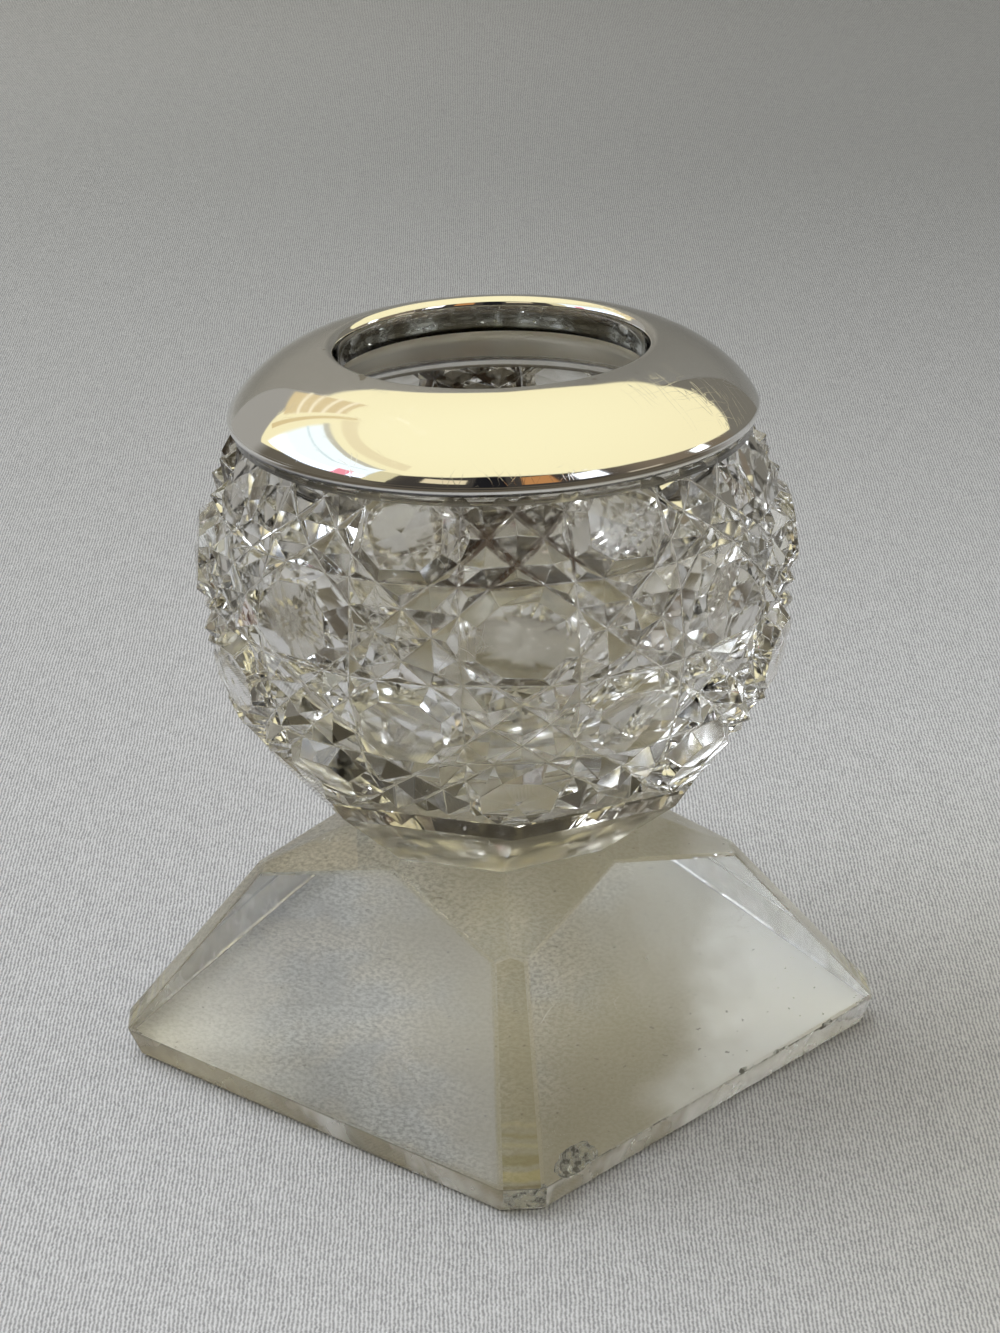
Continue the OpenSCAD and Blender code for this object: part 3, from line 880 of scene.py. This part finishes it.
def ground_glass_material():
    """The underside, worn matt on its table: scuffed on the left, dull in the middle, pale at the left end,
    and lighter at the right end with painted light where the window's light falls through the glass.
    """
    material, tree, shader = glass_shader("ground_glass", 0.5, 0.06, GROUND_TINT)
    place = tree.place()
    right = camera_axes()[0]
    wander = tree.scale(tree.noise(place, 70, 3), 0.3, 0.7, *metres(-3, 3))
    across = tree.math("ADD", tree.dot(place, right), wander)
    grain = tree.step(tree.noise(place, 1700, 4, 0.7), 0.36, 0.62)
    mottling = tree.step(tree.noise(place, 110, 4, 0.6), 0.3, 0.6)
    scuffs = tree.times(grain, tree.scale(mottling, 0.0, 1.0, 0.55, 1.0))
    warm = tree.step(tree.noise(tree.stretch(place, (1.4, 1, 1)), 75, 2), 0.42, 0.6)
    beige = tree.blend(scuffs, BEIGE_DARK, BEIGE_LIGHT)
    scuffed = tree.cover(tree.blend(scuffs, SCUFF_DARK, SCUFF_LIGHT), warm, beige, 0.8)
    flecks = tree.step(tree.noise(tree.stretch(place, (1, 2.5, 1), 0.6), 600, 3, 0.6), 0.62, 0.68)
    scuffed = tree.cover(scuffed, flecks, FLECK, 0.35)
    dull = tree.cover(tree.blend(tree.noise(place, 60, 3), DULL_DARK, DULL_LIGHT), grain, DULL_GRAIN, 0.1)
    colour = tree.cover(dull, tree.step(across, *metres(5, -7)), scuffed)
    left_pale = tree.blend(grain, LEFT_PALE_LOW, LEFT_PALE_HIGH)
    colour = tree.cover(colour, tree.step(across, *metres(-16, -30)), left_pale, 0.95)
    # Painted light: the right end is made pale where the window's light falls on it through the glass
    colour = tree.cover(colour, tree.step(across, *metres(11, 24)), RIGHT_PAINTED_LIGHT)
    specks = tree.step(tree.noise(place, 800, 2, 0.6), 0.68, 0.73)
    tree.feed(shader, colour=tree.cover(colour, specks, SPECK, 0.7))
    return material


def corner_glass_material():
    """The narrow face cut down each corner of the foot, with yellow and olive bands low down."""
    material, tree, shader = glass_shader("corner_glass", 0.02, 1.0, CORNER_TINT)
    place = tree.place()
    uneven = tree.math("MULTIPLY_ADD", tree.noise(place, 400, 2), 0.7 * MM, tree.split(place)[2])
    colour = CORNER_TINT
    for bottom, top, band in CORNER_BANDS:
        edges = metres(bottom, bottom + CORNER_BAND_SOFT, top - CORNER_BAND_SOFT, top)
        colour = tree.cover(colour, tree.hill(uneven, *edges), band)
    ripple = tree.noise(tree.stretch(place, (0.4, 0.4, 1)), 500, 2)
    tree.feed(shader, colour=colour, normal=tree.bump(ripple, 0.04 * MM))
    return material


def chipped_glass_material():
    """Broken glass in the chips: shell-shaped ripples, partly filled with grey-green dirt."""
    material, tree, shader = glass_shader("chipped_glass", 0.15, 0.75, CHIP_TINT)
    place = tree.place()
    clean = tree.step(tree.noise(place, 900, 4, 0.65), 0.4, 0.6)
    tree.feed(
        shader,
        colour=tree.blend(clean, CHIP_DIRT, CHIP_CLEAN),
        roughness=tree.scale(clean, 0.0, 1.0, 0.6, 0.08),
        through=tree.scale(clean, 0.0, 1.0, 0.3, 0.9),
        normal=tree.bump(tree.noise(place, 1100, 2), 0.2 * MM),
    )
    return material


def bevel_glass_material():
    """The undercut bevel round the foot: rubbed and slightly milky, clearer to the right, with darker olive
    patches.
    """
    material, tree, shader = glass_shader("bevel_glass", 0.2, 0.7, BEVEL_TINT)
    place = tree.place()
    z = tree.split(place)[2]
    right = camera_axes()[0]
    patches = tree.noise(place, 130, 3)
    clean = tree.math("ADD", patches, tree.times(tree.dot(place, right), 6.0))
    colour = tree.blend(tree.step(clean, 0.36, 0.62), BEVEL_OLIVE, BEVEL_CLEAN)
    line = tree.step(z, *metres(BEVEL_H - 0.45, BEVEL_H - 0.1))
    colour = tree.cover(colour, tree.times(line, tree.step(patches, 0.35, 0.5)), BEVEL_LINE)
    tree.feed(
        shader,
        colour=colour,
        roughness=tree.scale(tree.noise(place, 260, 3), 0.3, 0.7, 0.02, 0.4),
        through=tree.scale(tree.noise(place, 110, 4), 0.35, 0.65, 0.95, 0.45),
        normal=tree.bump(tree.noise(place, 500, 3), 0.08 * MM),
    )
    return material


# Silver
SILVER = (0.93, 0.915, 0.88, 1)
EDGE_SHADE = (0.2, 0.2, 0.215, 1)
TARNISH = (0.13, 0.12, 0.09, 1)
TARNISH_WORN = (0.5, 0.53, 0.53, 1)
# Painted shadow: the near-black line at the foot of the collar's inner wall, in the gap at the glass mouth
SEAM_SHADOW = (0.015, 0.013, 0.01, 1)
PIT_BROWN = (0.35, 0.27, 0.13, 1)


def silver_material():
    """Polished silver: a clear mirror with hairline scratches, wiping marks, soft dints and dull inside,
    with painted shade under the outer edge and a painted shadow line along the foot of the inner wall.
    """
    material, tree, shader = new_material("polished_silver")
    place = tree.place()
    x, y, z = tree.split(place)
    reach = tree.length(x, y)
    in_opening = tree.step(reach, *metres(OPENING_R + 1.3, OPENING_R + 0.8))
    lining = tree.times(in_opening, tree.step(z, *metres(TOP_Z - 0.8, TOP_Z - 1.8)))
    # Painted shadow: a near-black line along the bottom of the inner wall, where it meets the glass mouth
    seam_shadow = tree.times(in_opening, tree.step(z, *metres(TOP_Z - 2.8, TOP_Z - 3.2)))
    streaks = tree.noise(tree.stretch(place, (1, 1, 0.03)), 230, 2)
    tarnish = tree.blend(tree.step(streaks, 0.45, 0.62), TARNISH, TARNISH_WORN)
    pits = tree.step(tree.noise(place, 330, 1.0), 0.75, 0.77)
    colour = tree.cover(SILVER, tree.step(z, *metres(EDGE_Z - 0.25, EDGE_Z - 0.5)), EDGE_SHADE)
    colour = tree.cover(colour, lining, tarnish)
    colour = tree.cover(colour, seam_shadow, SEAM_SHADOW)
    tree.feed(shader, metal=1, colour=tree.cover(colour, pits, PIT_BROWN, 0.6))

    hairlines = scratches(tree, place, (110, (1, 9, 2), 0.9), (140, (7, 1, 3), 2.3))
    marks = tree.times(hairlines, tree.step(tree.noise(place, 120, 3), 0.48, 0.7))
    wiped = tree.scale(tree.noise(tree.stretch(place, (1, 1, 4)), 60, 4), 0.35, 0.7, 0.03, 0.09)
    tree.feed(shader, roughness=tree.math("ADD", wiped, tree.times(marks, 0.16)))
    dints = tree.math("SUBTRACT", tree.noise(place, 75, 1.5), tree.times(marks, 0.02))
    near_edge = tree.scale(z, *metres(EDGE_Z + 1.4, EDGE_Z + 0.2), 0.0, 1.0)
    turned = tree.times(tree.math("POWER", near_edge, 2.0), tree.math("GREATER_THAN", reach, 20 * MM))
    dinted = tree.bump(dints, 0.16 * MM)
    rolled = tree.bump(tree.math("SUBTRACT", 0.0, turned), EDGE_ROLL * MM, Normal=dinted)
    tree.feed(shader, normal=rolled)
    return material


# Cloth on the floor and up the backdrop. The foot rests on the tops of its threads, on a film of air.
FLOOR_GAP = 0.2
RIB_PITCH = 0.4
RIB_WANDER = 0.6
RIB_WANDER_FINE = 0.28
# Painted light and shade on the cloth: its greys change with distance, height and side as the light falls
FLOOR_GREY = (0.65, 0.65, 0.653, 1)
BACKDROP_GREY = (0.475, 0.475, 0.455, 1)
FAR_GREY = (0.58, 0.575, 0.55, 1)
WALL_GREY = (0.86, 0.85, 0.82, 1)
SIDE_SHADE = (0.12, 0.12, 0.11, 1)
# Painted shadow: warm, darker cloth beside the foot on its right
WARM_PAINTED_SHADOW = (0.56, 0.53, 0.45, 1)
RIB_SHADE = (0.16, 0.16, 0.165, 1)
# How dark the cloth further off looks in the silver and through the glass
MIRRORED_SHADE = (0.09, 0.075, 0.055, 1)
REFRACTED_SHADE = (0.12, 0.11, 0.09, 1)


def cloth_relief(tree, place, across):
    """Fine ribs that run away from the camera and wander a little, with stitches along them."""
    wander = tree.times(tree.noise(place, 90, 2), RIB_WANDER * MM)
    wander = tree.math("MULTIPLY_ADD", tree.noise(place, 1500, 1), RIB_WANDER_FINE * MM, wander)
    turns = tree.times(tree.math("ADD", across, wander), math.tau / (RIB_PITCH * MM))
    stitches = tree.noise(place, 2600, 1, 0.5)
    return tree.math("MULTIPLY_ADD", tree.math("SINE", turns), 0.33, stitches)


def cloth_material():
    """Fine ribbed grey cloth, with painted light and shade: darker going back towards the backdrop, lighter
    again further off and up the wall, darker to the right, and a warm painted shadow right of the foot.
    """
    material, tree, shader = new_material("floor_cloth")
    place = tree.place()
    right, toward = level_axes()
    across = tree.dot(place, right)
    away = tree.dot(place, -toward)
    height = tree.split(place)[2]
    # Painted light and shade: darker back towards the backdrop, lighter further off and up the wall, darker
    # to the right
    shade = tree.blend(tree.step(away, 0.0, 0.42), FLOOR_GREY, BACKDROP_GREY)
    shade = tree.cover(shade, tree.step(away, 0.37, 0.58), FAR_GREY)
    shade = tree.cover(shade, tree.step(height, 0.1, 0.3), WALL_GREY)
    side = tree.times(tree.step(across, -0.15, 0.15), tree.step(away, 0.0, 0.4))
    shade = tree.cover(shade, side, SIDE_SHADE, 0.42)
    # Painted shadow: the cloth to the right of the foot, and in front of it on that side, is made warmer
    # and darker
    warm_shadow = tree.times(tree.step(across, 0.01, 0.07), tree.step(away, 0.1, -0.02))
    shade = tree.cover(shade, warm_shadow, WARM_PAINTED_SHADOW, 0.6)

    relief = cloth_relief(tree, place, across)
    slubs = tree.scale(tree.noise(place, 300, 4, 0.6), 0.7, 0.3, 0.0, 0.08)
    gaps = tree.math("ADD", tree.scale(relief, 0.78, 0.1, 0.0, 0.66), slubs)
    shade = tree.cover(shade, gaps, RIB_SHADE)
    shown, through = tree.light_path()
    beyond = tree.times(tree.step(tree.length(across, away), 0.075, 0.18), tree.step(away, 0.14, 0.0))
    shade = tree.cover(shade, tree.times(beyond, shown), MIRRORED_SHADE)
    shade = tree.cover(shade, tree.times(tree.step(away, 0.24, 0.45), through), REFRACTED_SHADE)
    tree.feed(shader, colour=shade, normal=tree.bump(relief, 0.08 * MM), roughness=0.95, shine=0.1)
    return material


# Surroundings

# The floor and the curved backdrop, in metres; the backdrop ends where the ceiling starts, and a bit above
FLOOR_START = 0.25
FLOOR_REACH = 2.5
BACKDROP_R = 0.8
SWEEP_R = 0.25
BACKDROP_EXTRA = 0.07
BACKDROP_SPREAD = 31

# The room, by elevation over azimuth in degrees; azimuth 0 is the camera's side
CEILING_LINE = ((0, 50), (37, 44), (69, 36), (97, 24), (122, 14), (135, 27), (150, 39.5), (180, 38.5))
CREAM_LOW = (0.99, 0.91, 0.585, 1)
CREAM_HIGH = (1.03, 0.965, 0.63, 1)
DARK_FRONT = (0.05, 0.045, 0.04, 1)
WARM_SIDE = (0.19, 0.155, 0.115, 1)
GREY_SIDE = (0.13, 0.115, 0.09, 1)
LEFT_WALL = (0.36, 0.35, 0.325, 1)
RIGHT_WALL = (0.18, 0.17, 0.145, 1)

# The window on the left and a pale patch on the right, with the edges of each by azimuth and elevation
WINDOW_ACROSS = (-123, -119, -62, -58)
WINDOW_UPRIGHT = (19.0, 22.0, 44.6, 45.6)
WINDOW_LOW = (1.6, 1.8, 2.2, 1)
WINDOW_HIGH = (12.0, 12.8, 14.0, 1)
WINDOW_MIRRORED = (1.02, 1.13, 1.17, 1)
GLOW_ACROSS = (92.8, 96.0, 101, 104)
GLOW_UPRIGHT = (9, 13, 21, 23)
RIGHT_GLOW = (3.2, 3.5, 3.7, 1)

# Things in front: azimuths of the two sides, elevations of the bottom and top, and colour
FRONT_THINGS = (
    (-34, -14, 30, 40, (0.8, 0.7, 0.48, 1)),
    (-9, 5, 4, 47, (0.012, 0.012, 0.014, 1)),
    (13, 27, 22, 44, (0.5, 0.24, 0.09, 1)),
    (37, 50, 24, 40, (1.7, 1.8, 2.0, 1)),
    (58, 74, 4, 16, (0.5, 0.45, 0.36, 1)),
)
# Round the window, seen in the silver: ceiling panels, frame lines and curtains
WINDOW_THINGS = (
    (-149, -134, 29, 50, (0.76, 0.62, 0.36, 1)),
    (-150, -133, 33.8, 34.6, (1.04, 0.95, 0.7, 1)),
    (-150, -133, 38.5, 39.2, (1.04, 0.95, 0.7, 1)),
    (-150, -133, 43.1, 43.8, (1.04, 0.95, 0.7, 1)),
    (-150, -133, 47.6, 48.3, (1.04, 0.95, 0.7, 1)),
    (-130, -127.6, 24, 54, (0.74, 0.6, 0.33, 1)),
    (-126, -52, 50.4, 54.5, (0.88, 0.78, 0.5, 1)),
    (-122, -60, 45.2, 46.6, (0.58, 0.56, 0.46, 1)),
    (-121, -66, 39.2, 39.6, (0.72, 0.86, 0.9, 1)),
    (-76, -68, 20, 31, (1.0, 0.36, 0.45, 1)),
    (-60, -49, 18, 43, (0.72, 0.66, 0.42, 1)),
)

# The plain soft light that falls on the cloth, with its bright side towards the window
SOFT_LIGHT = (0.52, 0.495, 0.43, 1)
WINDOW_LIGHT = (2.85, 2.95, 3.1, 1)
LIGHT_AZIMUTH = -112
LIGHT_ELEVATION = 58
LIGHT_SPREAD = 0.68

GLASS_BOUNCES = 20
MIRROR_BOUNCES = 6


def line_at(points, x):
    """Straight interpolation between the points (x, y), which are in rising order."""
    for (x0, y0), (x1, y1) in zip(points, points[1:]):
        if x <= x1:
            return y0 + (y1 - y0) * (x - x0) / (x1 - x0)
    return points[-1][1]


def backdrop_profile(angle):
    """The floor's line out from the object and up the backdrop, as points (reach, z), at one angle."""
    elevation = line_at(CEILING_LINE, 180 - abs(math.degrees(angle)))
    top = BACKDROP_R * math.tan(math.radians(elevation)) + BACKDROP_EXTRA
    start = BACKDROP_R - SWEEP_R
    turns = [math.radians(turn) for turn in range(6, 91, 6)]
    sweep = [(start + SWEEP_R * math.sin(turn), SWEEP_R - SWEEP_R * math.cos(turn)) for turn in turns]
    wall = [(BACKDROP_R, SWEEP_R + (top - SWEEP_R) * k / 4) for k in range(1, 5)]
    return [(FLOOR_START, 0.0), (start, 0.0), *sweep, *wall]


def make_stage():
    """A pale floor that sweeps up into a curved backdrop round the far side of the object."""
    right, toward = level_axes()
    ground = -FLOOR_GAP * MM
    spread, count = math.radians(BACKDROP_SPREAD), 40
    shape = bmesh.new()
    columns = []
    for k in range(count + 1):
        angle = -spread + 2 * spread * k / count
        out = right * math.sin(angle) - toward * math.cos(angle)
        profile = backdrop_profile(angle)
        points = [(out.x * reach, out.y * reach, z + ground) for reach, z in profile]
        columns.append([shape.verts.new(point) for point in points])
    for one, two in zip(columns, columns[1:]):
        for k in range(len(one) - 1):
            shape.faces.new((one[k], two[k], two[k + 1], one[k + 1])).smooth = True
    near = []
    for side, front in ((1, 0), (1, 1), (-1, 1), (-1, 0)):
        corner = (right * side + toward * front) * FLOOR_REACH
        near.append(shape.verts.new((corner.x, corner.y, ground)))
    shape.faces.new([column[0] for column in columns] + [columns[-1][1], *near, columns[0][1]])
    bmesh.ops.recalc_face_normals(shape, faces=shape.faces)
    floor = new_object("floor", shape)
    floor.data.materials.append(cloth_material())


def ceiling_edge(tree, turned):
    """Elevation of the ceiling's edge over the azimuth, in degrees."""
    curve = tree.nodes.new("ShaderNodeFloatCurve")
    tree.put(curve.inputs["Value"], tree.math("DIVIDE", turned, 180.0))
    points = curve.mapping.curves[0].points
    while len(points) < len(CEILING_LINE):
        points.new(0.5, 0.5)
    for point, (azimuth, elevation) in zip(points, CEILING_LINE):
        point.location = (azimuth / 180, elevation / 90)
        point.handle_type = "VECTOR"
    curve.mapping.update()
    return tree.times(curve.outputs[0], 90.0)


def things_over(tree, under, azimuth, elevation, things, soft):
    """Lays flat things with soft edges over the room."""
    for left, right, bottom, top, colour in things:
        across = tree.hill(azimuth, left - soft, left, right, right + soft)
        upright = tree.hill(elevation, bottom - soft, bottom, top, top + soft)
        under = tree.cover(under, tree.times(across, upright), colour)
    return under


def room_colour(tree, direction, through):
    """The room by direction: ceiling, low surroundings, window, and the things among them."""
    right, toward = level_axes()
    across, front, height = (tree.dot(direction, axis) for axis in (right, toward, (0, 0, 1)))
    azimuth = tree.times(tree.math("ARCTAN2", across, front), math.degrees(1))
    elevation = tree.times(tree.math("ARCSINE", height), math.degrees(1))
    turned = tree.math("ABSOLUTE", azimuth)

    low = tree.blend(tree.step(azimuth, 40, 75), DARK_FRONT, WARM_SIDE)
    low = tree.cover(low, tree.step(azimuth, -40, -60), GREY_SIDE)
    wall = tree.blend(tree.step(azimuth, 0, 1), LEFT_WALL, RIGHT_WALL)
    low = tree.cover(low, tree.step(turned, 112, 124), wall)
    low = things_over(tree, low, azimuth, elevation, FRONT_THINGS, 1)
    ceiling = tree.blend(tree.step(elevation, 20, 75), CREAM_LOW, CREAM_HIGH)
    above = tree.math("SUBTRACT", elevation, ceiling_edge(tree, turned))
    room = tree.blend(tree.step(above, -0.8, 0.8), low, ceiling)

    pane = tree.times(tree.hill(azimuth, *WINDOW_ACROSS), tree.hill(elevation, *WINDOW_UPRIGHT))
    sky = tree.blend(through, WINDOW_MIRRORED, WINDOW_HIGH)
    room = tree.cover(room, pane, tree.blend(tree.step(elevation, 24, 31), WINDOW_LOW, sky))
    room = things_over(tree, room, azimuth, elevation, WINDOW_THINGS, 0.5)
    glow = tree.times(tree.hill(azimuth, *GLOW_ACROSS), tree.hill(elevation, *GLOW_UPRIGHT))
    return tree.cover(room, glow, RIGHT_GLOW)


def room_direction(azimuth, elevation):
    """A direction by its angles: azimuth from the camera's side towards the right, elevation upwards."""
    right, toward = level_axes()
    turn, climb = math.radians(azimuth), math.radians(elevation)
    level = toward * math.cos(turn) + right * math.sin(turn)
    return level * math.cos(climb) + Vector((0, 0, math.sin(climb)))


def make_world():
    """Silver and glass show the room; the cloth is lit by a plain soft light, brightest from the window."""
    world = bpy.data.worlds.new("room")
    bpy.context.scene.world = world
    world.use_nodes = True
    tree = Tree(world.node_tree)
    direction = tree.add("TexCoord", "Generated", {})
    shown, through = tree.light_path()
    lobe = tree.step(tree.dot(direction, room_direction(LIGHT_AZIMUTH, LIGHT_ELEVATION)), LIGHT_SPREAD, 1.0)
    light = tree.nodes["Background"]
    tree.put(light.inputs["Color"], tree.blend(lobe, SOFT_LIGHT, WINDOW_LIGHT))
    room = tree.nodes.new("ShaderNodeBackground")
    tree.put(room.inputs["Color"], room_colour(tree, direction, through))
    tree.mix_into("World Output", shown, light, room)


make_camera()
glass = make_glass()
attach(glass, "root")
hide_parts("glass_body")
collar = make_collar()
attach(collar, "root")
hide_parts("silver_collar")
make_stage()
make_world()

scene = bpy.context.scene
scene.view_settings.view_transform = "Standard"
scene.cycles.max_bounces = GLASS_BOUNCES
scene.cycles.transmission_bounces = GLASS_BOUNCES
scene.cycles.glossy_bounces = MIRROR_BOUNCES
